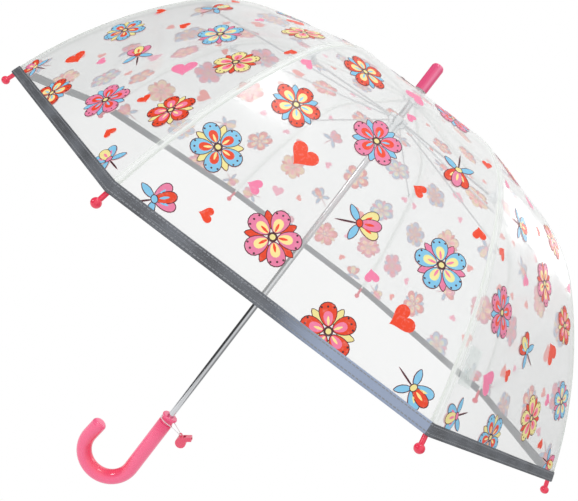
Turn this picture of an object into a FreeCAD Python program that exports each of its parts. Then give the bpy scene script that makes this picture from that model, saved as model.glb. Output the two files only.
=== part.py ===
"""A children's clear dome umbrella, open, in millimetres.

The shaft stands along +Z with the crown up and the J-shaped handle down, and the hook curls towards -X.
The origin is the middle of the handle's straight grip. Eight ribs hang from a notch under the crown and
eight stretchers push them open from a runner on the shaft. Whatever belongs to a rib is drawn in the XZ
plane, on the side of +X, and is then turned about the shaft to its own place.
"""

import FreeCAD, Part

import math
import os
import re

import Sketcher
from FreeCAD import Placement, Rotation, Vector

doc = FreeCAD.newDocument("ChildrensUmbrella")

# ---------------------------------------------------------------- driving dimensions

DIMENSIONS = {
    # clearances
    "seat": 0.05,
    "clearance": 0.3,
    "running": 0.08,
    # shaft
    "shaft_radius": 4.0,
    "shaft_wall": 0.5,
    "shaft_sunk": 55.0,
    "shaft_past_notch": 36.0,
    "lock_hole_radius": 1.6,
    # handle
    "grip_length": 79.0,
    "grip_radius": 9.8,
    "hook_radius": 34.5,
    "hook_turn": 186.0,
    "hook_end": 22.5,
    "hook_round": 5.0,
    "collar_height": 11.0,
    "neck_radius": 8.4,
    "lip_radius": 10.5,
    "lip_height": 2.6,
    # ferrule and crown
    "ferrule_radius": 7.5,
    "ferrule_length": 33.0,
    "ferrule_round": 4.5,
    "ferrule_lift": 14.5,
    "cap_radius": 17.0,
    "cap_thickness": 1.6,
    "cap_hub_radius": 6.5,
    # hinge rings of the notch and the runner
    "notch_height": 530.5,
    "pivot_radius": 9.0,
    "notch_radius": 12.0,
    "notch_above": 2.2,
    "notch_below": 3.5,
    "notch_wire_radius": 0.75,
    "runner_drop": 27.0,
    "flange_radius": 12.0,
    "flange_above": 3.5,
    "flange_below": 3.5,
    "runner_wire_radius": 0.6,
    "flange_cone": 3.0,
    "sleeve_radius": 8.0,
    "sleeve_below": 34.0,
    "sleeve_rim": 1.0,
    "sleeve_rim_height": 2.0,
    "runner_stop": 0.5,
    "button_radius": 3.0,
    "button_drop": 18.0,
    "button_travel": 1.2,
    "button_proud": 0.25,
    # dome line, from the notch out to the hem
    "rib_count": 8,
    "first_rib_angle": 22.5,
    "crown_slope": 8.4,
    "crown_run": 150.7,
    "shoulder_radius": 172.0,
    "shoulder_turn": 38.3,
    "side_radius": 495.0,
    "side_turn": 22.0,
    # ribs
    "rib_radius": 1.5,
    "rib_eye_radius": 2.3,
    "rib_eye_width": 1.6,
    "tip_sleeve": 7.0,
    "tip_stem": 6.0,
    "tip_radius": 2.0,
    "tip_ball_radius": 4.0,
    # rib joints and stretchers
    "joint_turn": 32.5,
    "joint_length": 14.0,
    "joint_radius": 2.5,
    "joint_width": 5.2,
    "joint_drop": 5.0,
    "joint_lug_length": 6.0,
    "rivet_radius": 1.6,
    "rivet_height": 0.8,
    "stretcher_radius": 0.9,
    "stretcher_eye_radius": 2.5,
    "stretcher_eye_width": 1.4,
    "stretcher_end_radius": 2.8,
    "stretcher_flat": 1.1,
    "stretcher_side_run": 70.0,
    "stretcher_bend": 6.0,
    # film, hem and closing strap
    "film_offset": 2.9,
    "film_thickness": 0.5,
    "film_inner_radius": 7.0,
    "hem_depth": 9.5,
    "hem_wall": 0.35,
    "hem_overlap": 0.5,
    "strap_rib": 7,
    "strap_width": 20.0,
    "strap_length": 30.0,
    "strap_above_hem": 42.0,
    "strap_thickness": 0.8,
    "strap_from_rib": 6.0,
    "stud_radius": 4.0,
    "stud_height": 1.2,
    # whistle and its cord
    "whistle_radius": 7.0,
    "whistle_width": 10.0,
    "whistle_wall": 1.4,
    "whistle_mouth_length": 14.0,
    "whistle_mouth_height": 5.5,
    "whistle_window": 3.5,
    "whistle_window_out": 3.4,
    "whistle_window_up": 2.0,
    "whistle_ear_radius": 2.4,
    "whistle_ear_width": 2.0,
    "whistle_tilt": 39.0,
    "whistle_ear_out": 25.0,
    "whistle_ear_drop": 12.3,
    "cord_radius": 0.5,
}

dims = doc.addObject("Spreadsheet::Sheet", "dims")
for row, (name, value) in enumerate(DIMENSIONS.items(), start=1):
    dims.set(f"A{row}", name)
    dims.set(f"B{row}", str(value))
    dims.setAlias(f"B{row}", name)
doc.recompute()


def size(name):
    """One driving dimension, as the sheet has it."""
    return float(dims.get(name))


def bind(piece, sizes):
    """Ties properties to expressions in which every word names a cell of the sheet."""
    for prop, text in sizes.items():
        piece.setExpression(prop, re.sub(r"[a-z]\w*", r"dims.\g<0>", text))
    return piece


def named(piece, label):
    piece.Label = label
    NODES.append(piece)
    return piece


NODES = []
UP = Vector(0, 0, 1)
ACROSS = Vector(0, 1, 0)

# ---------------------------------------------------------------- small building blocks


def cylinder(name, start, direction, radius, height):
    """A round bar from start along direction; radius and height are expressions."""
    bar = doc.addObject("Part::Cylinder", name)
    bar.Placement = Placement(start, Rotation(UP, direction))
    return bind(bar, {"Radius": radius, "Height": height})


def disc(name, centre, radius, width):
    """A disc across a rib's plane, centred on it."""
    round_eye = cylinder(name, Vector(centre.x, 0, centre.z), ACROSS, radius, width)
    bind(round_eye, {"Placement.Base.y": f"-({width}) / 2"})
    return round_eye


def ball(name, centre, radius):
    sphere = doc.addObject("Part::Sphere", name)
    sphere.Placement = Placement(centre, Rotation())
    return bind(sphere, {"Radius": radius})


def fuse(name, *pieces):
    joined = doc.addObject("Part::MultiFuse", name)
    joined.Shapes = list(pieces)
    return joined


def cut(name, base, tool):
    left = doc.addObject("Part::Cut", name)
    left.Base, left.Tool = base, tool
    return left


def common(name, *pieces):
    shared = doc.addObject("Part::MultiCommon", name)
    shared.Shapes = list(pieces)
    return shared


def rounded_path(points, reach=None):
    """Straight runs joined by tangent arcs. An arc starts reach before its corner, or 0.45 of the shorter run."""
    edges, radii, at = [], [], points[0]
    for before, corner, after in zip(points, points[1:], points[2:]):
        back, on = before - corner, after - corner
        cut_off = reach or 0.45 * min(back.Length, on.Length)
        half_turn = (math.pi - back.getAngle(on)) / 2
        radii.append(cut_off / math.tan(half_turn))
        back.normalize()
        on.normalize()
        first, final = corner + back * cut_off, corner + on * cut_off
        middle = corner + (back + on).normalize() * (radii[-1] / math.cos(half_turn) - radii[-1])
        edges += [Part.LineSegment(at, first).toShape(), Part.Arc(first, middle, final).toShape()]
        at = final
    edges.append(Part.LineSegment(at, points[-1]).toShape())
    return Part.Wire(edges), radii


def round_bar(name, path, start, direction, radius):
    """A round solid drawn along a path, with its radius as an expression."""
    spine = doc.addObject("Part::Feature", f"{name}_path")
    spine.Shape = path
    ring = doc.addObject("Part::Circle", f"{name}_section")
    ring.Placement = Placement(start, Rotation(UP, direction))
    bind(ring, {"Radius": radius})
    bar = doc.addObject("Part::Sweep", name)
    bar.Sections = [ring]
    bar.Spine = (spine, [f"Edge{i + 1}" for i in range(len(path.Edges))])
    bar.Solid = True
    return bar


def plane_of(body, role):
    return next(f for f in body.Origin.OriginFeatures if f.Role == role)


def sketch_on(body, role, name):
    sketch = body.newObject("Sketcher::SketchObject", name)
    sketch.AttachmentSupport = [(plane_of(body, role), "")]
    sketch.MapMode = "FlatFace"
    return sketch


def outline(sketch, corners):
    """A closed polygon; each corner is a pair of expressions, measured from the sketch's origin."""
    count = len(corners)
    start = [Vector(math.cos(i), math.sin(i), 0) for i in range(count + 1)]
    for i in range(count):
        sketch.addGeometry(Part.LineSegment(start[i], start[i + 1]))
    for i in range(count):
        sketch.addConstraint(Sketcher.Constraint("Coincident", i, 2, (i + 1) % count, 1))
    for i, corner in enumerate(corners):
        for kind, text in zip(("DistanceX", "DistanceY"), corner):
            index = sketch.addConstraint(Sketcher.Constraint(kind, -1, 1, i, 1, 1.0))
            bind(sketch, {f"Constraints[{index}]": text})


def turned(name, corners):
    """A body turned about the shaft's axis; each corner is (radius, height)."""
    body = doc.addObject("PartDesign::Body", name)
    sketch = sketch_on(body, "XZ_Plane", name + "_profile")
    outline(sketch, corners)
    lathe = body.newObject("PartDesign::Revolution", name + "_turned")
    lathe.Profile = sketch
    lathe.ReferenceAxis = (sketch, ["V_Axis"])
    lathe.Angle = 360
    body.Tip = lathe
    return body


def slotted(body, name, inner, outer, width, height, count):
    """Cuts equal slots through a turned body, spaced evenly about its axis, each reaching out past its rim."""
    sketch = sketch_on(body, "XY_Plane", name + "_slot")
    bind(sketch, {"AttachmentOffset.Base.z": height})
    outline(sketch, [(inner, f"-({width}) / 2"), (outer, f"-({width}) / 2"),
                     (outer, f"({width}) / 2"), (inner, f"({width}) / 2")])
    slot = body.newObject("PartDesign::Pocket", name + "_slot_cut")
    slot.Profile = sketch
    slot.Type = "ThroughAll"
    slot.Midplane = True
    around = body.newObject("PartDesign::PolarPattern", name + "_slots")
    around.Originals = [slot]
    around.Axis = (plane_of(body, "Z_Axis"), [""])
    around.Angle = 360
    bind(around, {"Occurrences": count})
    body.Tip = around
    return body


# ---------------------------------------------------------------- the dome line


def facing(slope):
    """Outward normal and outward direction of a line in the XZ plane that falls by slope degrees."""
    fall = math.radians(slope)
    return Vector(math.sin(fall), 0, math.cos(fall)), Vector(math.cos(fall), 0, -math.sin(fall))


def dome_stretches():
    """The rib's centre line: a straight run from the notch, the shoulder's arc and the side's arc.

    Each stretch is (start, slope at its start, length, radius), with no radius where it is straight.
    """
    start = Vector(size("pivot_radius"), 0, size("notch_height"))
    slope = size("crown_slope")
    stretches = [(start, slope, size("crown_run"), None)]
    start = start + facing(slope)[1] * size("crown_run")
    for radius, turn in ((size("shoulder_radius"), size("shoulder_turn")),
                         (size("side_radius"), size("side_turn"))):
        stretches.append((start, slope, radius * math.radians(turn), radius))
        start = start + (facing(slope + turn)[0] - facing(slope)[0]) * radius
        slope += turn
    return stretches


STRETCHES = dome_stretches()
RIB_LENGTH = sum(stretch[2] for stretch in STRETCHES)


def dome_point(along, out=0.0):
    """A point of the dome line, along it from the notch and out from it, and the slope there."""
    left = along
    for start, slope, length, radius in STRETCHES:
        if left <= length or radius == size("side_radius"):
            break
        left -= length
    if radius is None:
        normal, onward = facing(slope)
        return start + onward * left + normal * out, slope
    here = slope + math.degrees(left / radius)
    return start + (facing(here)[0] - facing(slope)[0]) * radius + facing(here)[0] * out, here


def dome_edges(begin, end, out):
    """The dome line's edges between two places along it, moved out from it."""
    edges, at = [], 0.0
    for i, (_, _, length, radius) in enumerate(STRETCHES):
        last = i == len(STRETCHES) - 1
        low, high = max(begin, at) if i else begin, end if last else min(end, at + length)
        if high - low > 1e-6:
            first, final = dome_point(low + 1e-9, out)[0], dome_point(high - 1e-9, out)[0]
            if radius is None:
                edges.append(Part.LineSegment(first, final))
            else:
                edges.append(Part.Arc(first, dome_point((low + high) / 2, out)[0], final))
        at += length
    return edges


def dome_band(name, begin, end, inner, outer):
    """A sketch in the rib's plane: the closed band between two lines that follow the dome."""
    sketch = doc.addObject("Sketcher::SketchObject", name)
    sketch.Placement = Placement(Vector(), Rotation(Vector(1, 0, 0), 90))
    inside, outside = dome_edges(begin, end, inner), dome_edges(begin, end, outer)
    ends = [Part.LineSegment(inside[0].StartPoint, outside[0].StartPoint),
            Part.LineSegment(inside[-1].EndPoint, outside[-1].EndPoint)]
    to_sketch = sketch.Placement.inverse().toMatrix()
    for edge in inside + outside + ends:
        edge.transform(to_sketch)
        sketch.addGeometry(edge)
    return sketch


def dome_bend(name, stretch, begin_turn, turn, radius):
    """A round bar that follows one arc of the dome line; its radius and its turn are expressions."""
    start, slope, _, bend = STRETCHES[stretch]
    normal, onward = facing(slope + begin_turn)
    centre = start - facing(slope)[0] * bend
    bar = doc.addObject("Part::Torus", name)
    bar.Placement = Placement(centre, Rotation(normal, onward, ACROSS, "XYZ"))
    return bind(bar, {"Radius1": ("shoulder_radius", "side_radius")[stretch - 1],
                      "Radius2": radius, "Angle3": turn})


HALF_PANEL = 180.0 / int(size("rib_count"))


def gore(name, sketch, wedge):
    """The two half panels that meet at a rib: the band drawn out along both panels, to their middles."""
    halves = []
    for side in (1, -1):
        half = doc.addObject("Part::Extrusion", f"{name}_half_{'left' if side > 0 else 'right'}")
        half.Base = sketch
        half.DirMode = "Custom"
        lean = math.radians(HALF_PANEL)
        half.Dir = Vector(-math.sin(lean), side * math.cos(lean), 0)
        half.LengthFwd = dome_point(RIB_LENGTH)[0].x * math.tan(lean)
        half.Solid = True
        halves.append(half)
    return common(name, fuse(name + "_both", *halves), wedge)


def panel_wedge(name):
    """The space from the middle of one panel to the middle of the next, less half a gap on each side."""
    reach = 2 * dome_point(RIB_LENGTH)[0].x
    lean = math.radians(HALF_PANEL)
    tip = size("clearance") / 2 / math.sin(lean)
    half = (reach - tip) * math.tan(lean)
    sketch = doc.addObject("Sketcher::SketchObject", name + "_outline")
    corners = [Vector(tip, 0, 0), Vector(reach, -half, 0), Vector(reach, half, 0)]
    for i in range(3):
        sketch.addGeometry(Part.LineSegment(corners[i], corners[(i + 1) % 3]))
    wedge = doc.addObject("Part::Extrusion", name)
    wedge.Base = sketch
    wedge.DirMode = "Custom"
    wedge.Dir = UP
    wedge.Solid = True
    return bind(wedge, {"LengthFwd": "notch_height + ferrule_length"})


# ---------------------------------------------------------------- the stick


def make_shaft():
    foot = {"Placement.Base.z": "grip_length / 2 - shaft_sunk"}
    long = "notch_height + shaft_past_notch - grip_length / 2 + shaft_sunk"
    tube = bind(cylinder("shaft_tube", Vector(), UP, "shaft_radius", long), foot)
    hollow = bind(cylinder("shaft_hollow", Vector(), UP, "shaft_radius - shaft_wall", long), foot)
    holes = []
    for name, height in (("open", "notch_height - runner_drop"),
                         ("closed", "grip_length / 2 + collar_height + runner_stop + sleeve_below")):
        hole = cylinder("lock_hole_" + name, Vector(), ACROSS, "lock_hole_radius", "2 * shaft_radius")
        holes.append(bind(hole, {"Placement.Base.z": f"{height} - button_drop"}))
    named(cut("shaft_cut", tube, fuse("shaft_inside", hollow, *holes)), "shaft")


def make_handle():
    """The grip, the bend of the J and its short upright end, moulded in one and bored for the shaft."""
    half_grip = size("grip_length") / 2
    bend_radius = size("hook_radius")
    grip = cylinder("grip", Vector(0, 0, -half_grip), UP, "grip_radius", "grip_length")
    bend = doc.addObject("Part::Torus", "hook_bend")
    bend.Placement = Placement(Vector(-bend_radius, 0, -half_grip),
                               Rotation(Vector(1, 0, 0), Vector(0, 0, -1), ACROSS, "XYZ"))
    bind(bend, {"Radius1": "hook_radius", "Radius2": "grip_radius", "Angle3": "hook_turn"})
    turn = math.radians(size("hook_turn"))
    end_at = Vector(-bend_radius + bend_radius * math.cos(turn), 0, -half_grip - bend_radius * math.sin(turn))
    end_way = Vector(-math.sin(turn), 0, -math.cos(turn))
    end = cylinder("hook_end_bar", end_at, end_way, "grip_radius", "hook_end")
    end_rounding = doc.addObject("Part::Fillet", "hook_end_round")
    end_rounding.Base = end
    doc.recompute()
    rim = max(range(len(end.Shape.Edges)),
              key=lambda i: (end.Shape.Edges[i].CenterOfMass - end_at).dot(end_way)
              if end.Shape.Edges[i].Closed else -1)
    end_rounding.Edges = [(rim + 1, size("hook_round"), size("hook_round"))]
    bore = cylinder("handle_bore", Vector(), UP, "shaft_radius + seat", "shaft_sunk + seat")
    bind(bore, {"Placement.Base.z": "grip_length / 2 - shaft_sunk - seat"})
    named(cut("handle_cut", fuse("handle_whole", grip, bend, end_rounding), bore), "handle")


def make_handle_collar():
    foot, top = "grip_length / 2", "grip_length / 2 + collar_height"
    named(turned("handle_collar_body", [
        ("shaft_radius + seat", foot),
        ("neck_radius", foot),
        ("neck_radius", f"{top} - 2 * lip_height"),
        ("lip_radius", f"{top} - lip_height"),
        ("lip_radius", f"{top} - lip_height / 3"),
        ("lip_radius - lip_height / 3", top),
        ("shaft_radius + seat", top),
    ]), "handle_collar")


def make_ferrule():
    foot = "notch_height + ferrule_lift"
    body = turned("ferrule_body", [
        ("shaft_radius + seat", foot),
        ("ferrule_radius", foot),
        ("ferrule_radius", f"{foot} + ferrule_length"),
        ("0", f"{foot} + ferrule_length"),
        ("0", "notch_height + shaft_past_notch + seat"),
        ("shaft_radius + seat", "notch_height + shaft_past_notch + seat"),
    ])
    doc.recompute()
    top = size("notch_height") + size("ferrule_lift") + size("ferrule_length")
    lathe = body.Tip
    rims = [f"Edge{i}" for i, edge in enumerate(lathe.Shape.Edges, start=1)
            if abs(edge.BoundBox.ZMin - top) < 0.01 and abs(edge.BoundBox.ZMax - top) < 0.01
            and isinstance(edge.Curve, Part.Circle)]
    rounding = body.newObject("PartDesign::Fillet", "ferrule_rounding")
    rounding.Base = (lathe, rims)
    bind(rounding, {"Radius": "ferrule_round"})
    body.Tip = rounding
    named(body, "ferrule")


def make_crown_cap():
    """A clear washer that lies on the film like a flat cone, with a hub up to the ferrule."""
    fall = math.tan(math.radians(size("crown_slope")))
    rise = (size("film_offset") + size("film_thickness") + size("clearance")) / math.cos(math.atan(fall))
    under = f"notch_height + {rise:.4f} + {fall:.6f} * pivot_radius"
    hub = "notch_height + ferrule_lift"
    named(turned("crown_cap_body", [
        ("shaft_radius + seat", f"{under} - {fall:.6f} * (shaft_radius + seat)"),
        ("cap_radius", f"{under} - {fall:.6f} * cap_radius"),
        ("cap_radius", f"{under} - {fall:.6f} * cap_radius + cap_thickness / 2"),
        ("cap_radius - cap_thickness / 2", f"{under} - {fall:.6f} * cap_radius + cap_thickness"),
        ("cap_hub_radius + cap_thickness", f"{under} - {fall:.6f} * cap_hub_radius + cap_thickness"),
        ("cap_hub_radius", f"{under} + 2 * cap_thickness"),
        ("cap_hub_radius", hub),
        ("shaft_radius + seat", hub),
    ]), "crown_cap")


def hinge_ring(name, height, radius):
    """The wire ring that the eyes turn on."""
    ring = doc.addObject("Part::Torus", name)
    return bind(ring, {"Radius1": "pivot_radius", "Radius2": radius, "Placement.Base.z": height})


def make_top_notch():
    body = turned("notch_body", [
        ("shaft_radius + seat", "notch_height - notch_below"),
        ("notch_radius", "notch_height - notch_below"),
        ("notch_radius", "notch_height + notch_above"),
        ("shaft_radius + seat", "notch_height + notch_above"),
    ])
    slotted(body, "notch", "pivot_radius - rib_eye_radius - clearance", "notch_radius + 1",
            "2 * rib_radius + 2 * clearance", "notch_height", "rib_count")
    turn = Rotation(UP, size("first_rib_angle"))
    whole = fuse("notch_and_ring", body, hinge_ring("notch_ring", "notch_height", "notch_wire_radius"))
    whole.Placement = Placement(Vector(), turn)
    named(whole, "top_notch")


# ---------------------------------------------------------------- the runner

PIVOT_HEIGHT = size("notch_height") - size("runner_drop")


def make_runner():
    pivot = "(notch_height - runner_drop)"
    bore = "shaft_radius + clearance"
    body = turned("runner_body", [
        (bore, f"{pivot} - sleeve_below"),
        ("sleeve_radius + sleeve_rim", f"{pivot} - sleeve_below"),
        ("sleeve_radius + sleeve_rim", f"{pivot} - sleeve_below + sleeve_rim_height"),
        ("sleeve_radius", f"{pivot} - sleeve_below + sleeve_rim_height + 1.5 * sleeve_rim"),
        ("sleeve_radius", f"{pivot} - flange_below - flange_cone"),
        ("flange_radius", f"{pivot} - flange_below"),
        ("flange_radius", f"{pivot} + flange_above"),
        (bore, f"{pivot} + flange_above"),
    ])
    slotted(body, "runner", "pivot_radius - stretcher_eye_radius - clearance", "flange_radius + 1",
            "2 * stretcher_radius + 2 * clearance", pivot, "rib_count")
    whole = fuse("runner_and_ring", body, hinge_ring("runner_ring", pivot, "runner_wire_radius"))
    whole.Placement = Placement(Vector(), Rotation(UP, size("first_rib_angle")))
    pocket = cylinder("button_pocket", Vector(), ACROSS, "button_radius + clearance", "2 * sleeve_radius")
    bind(pocket, {"Placement.Base.z": f"{pivot} - button_drop"})
    named(cut("runner_cut", whole, pocket), "runner")

    button = cylinder("button_bar", Vector(), ACROSS, "button_radius",
                      "sleeve_radius + button_proud - shaft_radius - clearance")
    bind(button, {"Placement.Base.y": "shaft_radius + clearance + button_travel",
                  "Placement.Base.z": f"{pivot} - button_drop"})
    named(button, "runner_button")


# ---------------------------------------------------------------- ribs, joints and stretchers


def turn_to_rib(piece, number):
    piece.Placement = Placement(Vector(), Rotation(UP, rib_angle(number)))
    return piece


def rib_angle(number):
    return size("first_rib_angle") + (number - 1) * 2 * HALF_PANEL


def make_rib(number):
    """A glass-fibre rod along the dome line, with a flat eye on the notch's ring."""
    pivot = dome_point(0)[0]
    past_hole = size("notch_wire_radius") + size("running") + size("clearance")
    start, slope = dome_point(past_hole)
    run = cylinder(f"rib_{number}_run", start, facing(slope)[1], "rib_radius", f"crown_run - {past_hole}")
    eye = disc(f"rib_{number}_eye", pivot, "rib_eye_radius", "rib_eye_width")
    rod = fuse(f"rib_{number}_rod", eye, run,
               dome_bend(f"rib_{number}_shoulder", 1, 0, "shoulder_turn", "rib_radius"),
               dome_bend(f"rib_{number}_side", 2, 0, "side_turn", "rib_radius"))
    hole = disc(f"rib_{number}_hole", pivot, "notch_wire_radius + running", "4 * rib_radius")
    named(turn_to_rib(cut(f"rib_{number}_cut", rod, hole), number), f"rib_{number}")


def make_rib_tip(number):
    """A moulded tip on the rib's end: a sleeve, a stem that passes the hem, and a ball."""
    _, slope = dome_point(RIB_LENGTH - size("tip_sleeve") / 2)
    normal, onward = facing(slope)
    begin = dome_point(RIB_LENGTH - size("tip_sleeve") / 2)[0] - onward * (size("tip_sleeve") / 2)
    centre = begin + onward * (size("tip_sleeve") + size("tip_stem") + size("tip_ball_radius"))
    stem = cylinder(f"tip_{number}_stem", begin, onward, "tip_radius",
                    "tip_sleeve + tip_stem + tip_ball_radius")
    socket = cylinder(f"tip_{number}_socket", begin, onward, "rib_radius + seat", "tip_sleeve + seat")
    whole = fuse(f"tip_{number}_whole", stem, ball(f"tip_{number}_ball", centre, "tip_ball_radius"))
    named(turn_to_rib(cut(f"tip_{number}_cut", whole, socket), number), f"rib_tip_{number}")


def joint_pivot():
    """Where a stretcher is riveted to its rib's joint, at rest."""
    at, slope = dome_point(size("crown_run") + size("shoulder_radius") * math.radians(size("joint_turn")))
    return at - facing(slope)[0] * size("joint_drop"), slope


def make_rib_joint(number):
    """A sleeve moulded round the rib, with a lug below it that the stretcher is riveted to."""
    half_turn = math.degrees(size("joint_length") / 2 / size("shoulder_radius"))
    begin = size("joint_turn") - half_turn
    sleeve = dome_bend(f"joint_{number}_sleeve", 1, begin, "0", "joint_radius")
    socket = dome_bend(f"joint_{number}_socket", 1, begin - half_turn, "0", "rib_radius + seat")
    for bar, turn in ((sleeve, 2 * half_turn), (socket, 4 * half_turn)):
        bind(bar, {"Angle3": f"{turn:.6f}"})
    pivot, slope = joint_pivot()
    normal, onward = facing(slope)
    top = (size("rib_radius") + size("seat") + size("joint_radius")) / 2
    lug_height = size("joint_drop") + size("stretcher_end_radius") - top
    corner = pivot - onward * (size("joint_lug_length") / 2) - normal * size("stretcher_end_radius")
    lug = doc.addObject("Part::Box", f"joint_{number}_lug")
    lug.Placement = Placement(corner - ACROSS * (size("joint_width") / 2),
                              Rotation(onward, ACROSS, normal, "XYZ"))
    lug.Height = lug_height
    bind(lug, {"Length": "joint_lug_length", "Width": "joint_width"})
    rivet = cylinder(f"joint_{number}_rivet", Vector(pivot.x, 0, pivot.z), -ACROSS,
                     "rivet_radius", "joint_width / 2 + rivet_height")
    named(turn_to_rib(fuse(f"joint_{number}_whole", cut(f"joint_{number}_tube", sleeve, socket), lug, rivet),
                      number), f"rib_joint_{number}")


def make_stretcher(number):
    """A steel wire from the runner's ring to the rib's joint. Its outer run lies beside the rib's plane."""
    inner = Vector(size("pivot_radius"), 0, PIVOT_HEIGHT)
    outer = joint_pivot()[0]
    side = size("joint_width") / 2 + size("clearance") + size("stretcher_radius")
    onward = (outer - inner).normalize()
    start = inner + onward * (size("runner_wire_radius") + size("running") + size("clearance"))
    knee = outer - onward * size("stretcher_side_run") + ACROSS * side
    end = outer + ACROSS * side
    path = rounded_path([start, knee, end], size("stretcher_bend"))[0]
    rod = round_bar(f"stretcher_{number}_rod", path, start, knee - start, "stretcher_radius")
    eye = disc(f"stretcher_{number}_eye", inner, "stretcher_eye_radius", "stretcher_eye_width")
    flat_end = cylinder(f"stretcher_{number}_end", end - ACROSS * (size("stretcher_flat") / 2), ACROSS,
                        "stretcher_end_radius", "stretcher_flat")
    rivet = cylinder(f"stretcher_{number}_rivet", end, ACROSS, "rivet_radius",
                     "stretcher_radius + rivet_height")
    hole = disc(f"stretcher_{number}_hole", inner, "runner_wire_radius + running", "4 * stretcher_radius")
    wire = fuse(f"stretcher_{number}_wire", eye, rod, flat_end, rivet)
    named(turn_to_rib(cut(f"stretcher_{number}_cut", wire, hole), number), f"stretcher_{number}")


# ---------------------------------------------------------------- film, hem and closing strap


def make_canopy_gore(number):
    """The clear film on both sides of a rib, from its crown end down into the hem's fold."""
    inner = size("film_offset")
    begin = size("film_inner_radius") - size("pivot_radius")
    end = RIB_LENGTH - size("seat")
    band = dome_band(f"film_{number}_band", begin, end, inner, inner + size("film_thickness"))
    film = gore(f"film_{number}", band, panel_wedge(f"film_{number}_wedge"))
    named(turn_to_rib(film, number), f"canopy_gore_{number}")


def make_hem_binding(number):
    """A tape folded over the film's edge."""
    inner = size("film_offset") - size("seat")
    outer = size("film_offset") + size("film_thickness") + size("seat")
    wall = size("hem_wall")
    top = RIB_LENGTH - size("hem_depth")
    tape = dome_band(f"hem_{number}_tape_band", top, RIB_LENGTH + size("hem_overlap"),
                     inner - wall, outer + wall)
    fold = dome_band(f"hem_{number}_fold_band", top - size("hem_overlap"), RIB_LENGTH, inner, outer)
    wedge = panel_wedge(f"hem_{number}_wedge")
    folded = cut(f"hem_{number}_cut", gore(f"hem_{number}_tape", tape, wedge),
                 gore(f"hem_{number}_fold", fold, wedge))
    named(turn_to_rib(folded, number), f"hem_binding_{number}")


def make_strap():
    """A short clear strap welded to one panel beside a rib, with its press stud."""
    number = int(size("strap_rib"))
    low = RIB_LENGTH - size("strap_above_hem")
    inner = size("film_offset") + size("film_thickness") + size("clearance")
    band = dome_band("strap_band", low - size("strap_length"), low, inner, inner + size("strap_thickness"))
    lean = math.radians(HALF_PANEL)
    along_panel = Vector(-math.sin(lean), math.cos(lean), 0)
    strap = doc.addObject("Part::Extrusion", "strap")
    strap.Base = band
    strap.DirMode = "Custom"
    strap.Dir = along_panel
    strap.Solid = True
    bind(strap, {"LengthFwd": "strap_width"})
    turn = Rotation(UP, rib_angle(number))
    strap.Placement = Placement(turn.multVec(along_panel * size("strap_from_rib")), turn)
    named(strap, "closing_strap")

    at, slope = dome_point(low - size("strap_width") / 2, inner + size("strap_thickness"))
    normal = facing(slope)[1].cross(along_panel).normalize()
    foot = at + along_panel * (size("strap_from_rib") + size("strap_width") / 2) + normal * size("seat")
    stud = cylinder("stud", Vector(), UP, "stud_radius", "stud_height")
    stud.Placement = Placement(turn.multVec(foot), turn.multiply(Rotation(UP, normal)))
    named(stud, "strap_stud")


# ---------------------------------------------------------------- whistle


def make_whistle():
    """A pea whistle: a round chamber with a flat mouthpiece, a window over the chamber and an ear."""
    collar_top = size("grip_length") / 2 + size("collar_height")
    ear = Vector(size("whistle_ear_out"), 0, collar_top - size("whistle_ear_drop"))
    tilt = Rotation(ACROSS, -size("whistle_tilt"))
    drop = size("whistle_radius") + size("whistle_ear_radius") - size("clearance")
    half = size("whistle_width") / 2
    place = Placement(ear, tilt)

    def put(piece, offset):
        piece.Placement = place.multiply(Placement(offset, piece.Placement.Rotation))
        return piece

    centre = Vector(0, -half, -drop)
    chamber = put(cylinder("whistle_chamber", Vector(), ACROSS, "whistle_radius", "whistle_width"), centre)
    mouth = doc.addObject("Part::Box", "whistle_mouth")
    bind(mouth, {"Length": "whistle_mouth_length", "Width": "whistle_width",
                 "Height": "whistle_mouth_height"})
    put(mouth, centre + UP * (size("whistle_radius") - size("whistle_mouth_height")))
    lug = put(disc("whistle_ear", Vector(), "whistle_ear_radius", "whistle_ear_width"), Vector())
    hollow = put(cylinder("whistle_hollow", Vector(), ACROSS, "whistle_radius - whistle_wall",
                          "whistle_width - 2 * whistle_wall"), centre + ACROSS * size("whistle_wall"))
    windway = doc.addObject("Part::Box", "whistle_windway")
    bind(windway, {"Length": "whistle_mouth_length + 1", "Width": "whistle_width - 2 * whistle_wall",
                   "Height": "whistle_mouth_height - 2 * whistle_wall"})
    put(windway, centre + ACROSS * size("whistle_wall")
        + UP * (size("whistle_radius") - size("whistle_mouth_height") + size("whistle_wall")))
    window = doc.addObject("Part::Box", "whistle_window")
    bind(window, {"Length": "whistle_window", "Width": "whistle_width - 2 * whistle_wall",
                  "Height": "whistle_radius"})
    put(window, centre + Vector(size("whistle_window_out"), size("whistle_wall"), size("whistle_window_up")))
    hole = put(disc("whistle_ear_hole", Vector(), "cord_radius + 2 * clearance", "2 * whistle_width"), Vector())
    solid = fuse("whistle_solid", chamber, mouth, lug)
    named(cut("whistle_cut", solid, fuse("whistle_inside", hollow, windway, window, hole)), "whistle")


# From the whistle's ear up to the collar's neck, once round the neck, and back to the other side of the ear.
CORD_ROUTE = [
    (25.0, -1.6, 38.2),
    (19.6, -4.0, 40.0),
    (12.4, -7.2, 42.0),
    (4.9, -9.5, 43.0),
    (-2.6, -9.8, 43.3),
    (-8.4, -5.6, 43.2),
    (-10.2, 1.0, 43.0),
    (-7.6, 7.0, 42.8),
    (-1.4, 10.1, 43.0),
    (5.6, 9.5, 42.9),
    (12.2, 6.9, 41.8),
    (19.5, 3.9, 39.9),
    (25.0, 1.6, 38.2),
]


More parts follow.
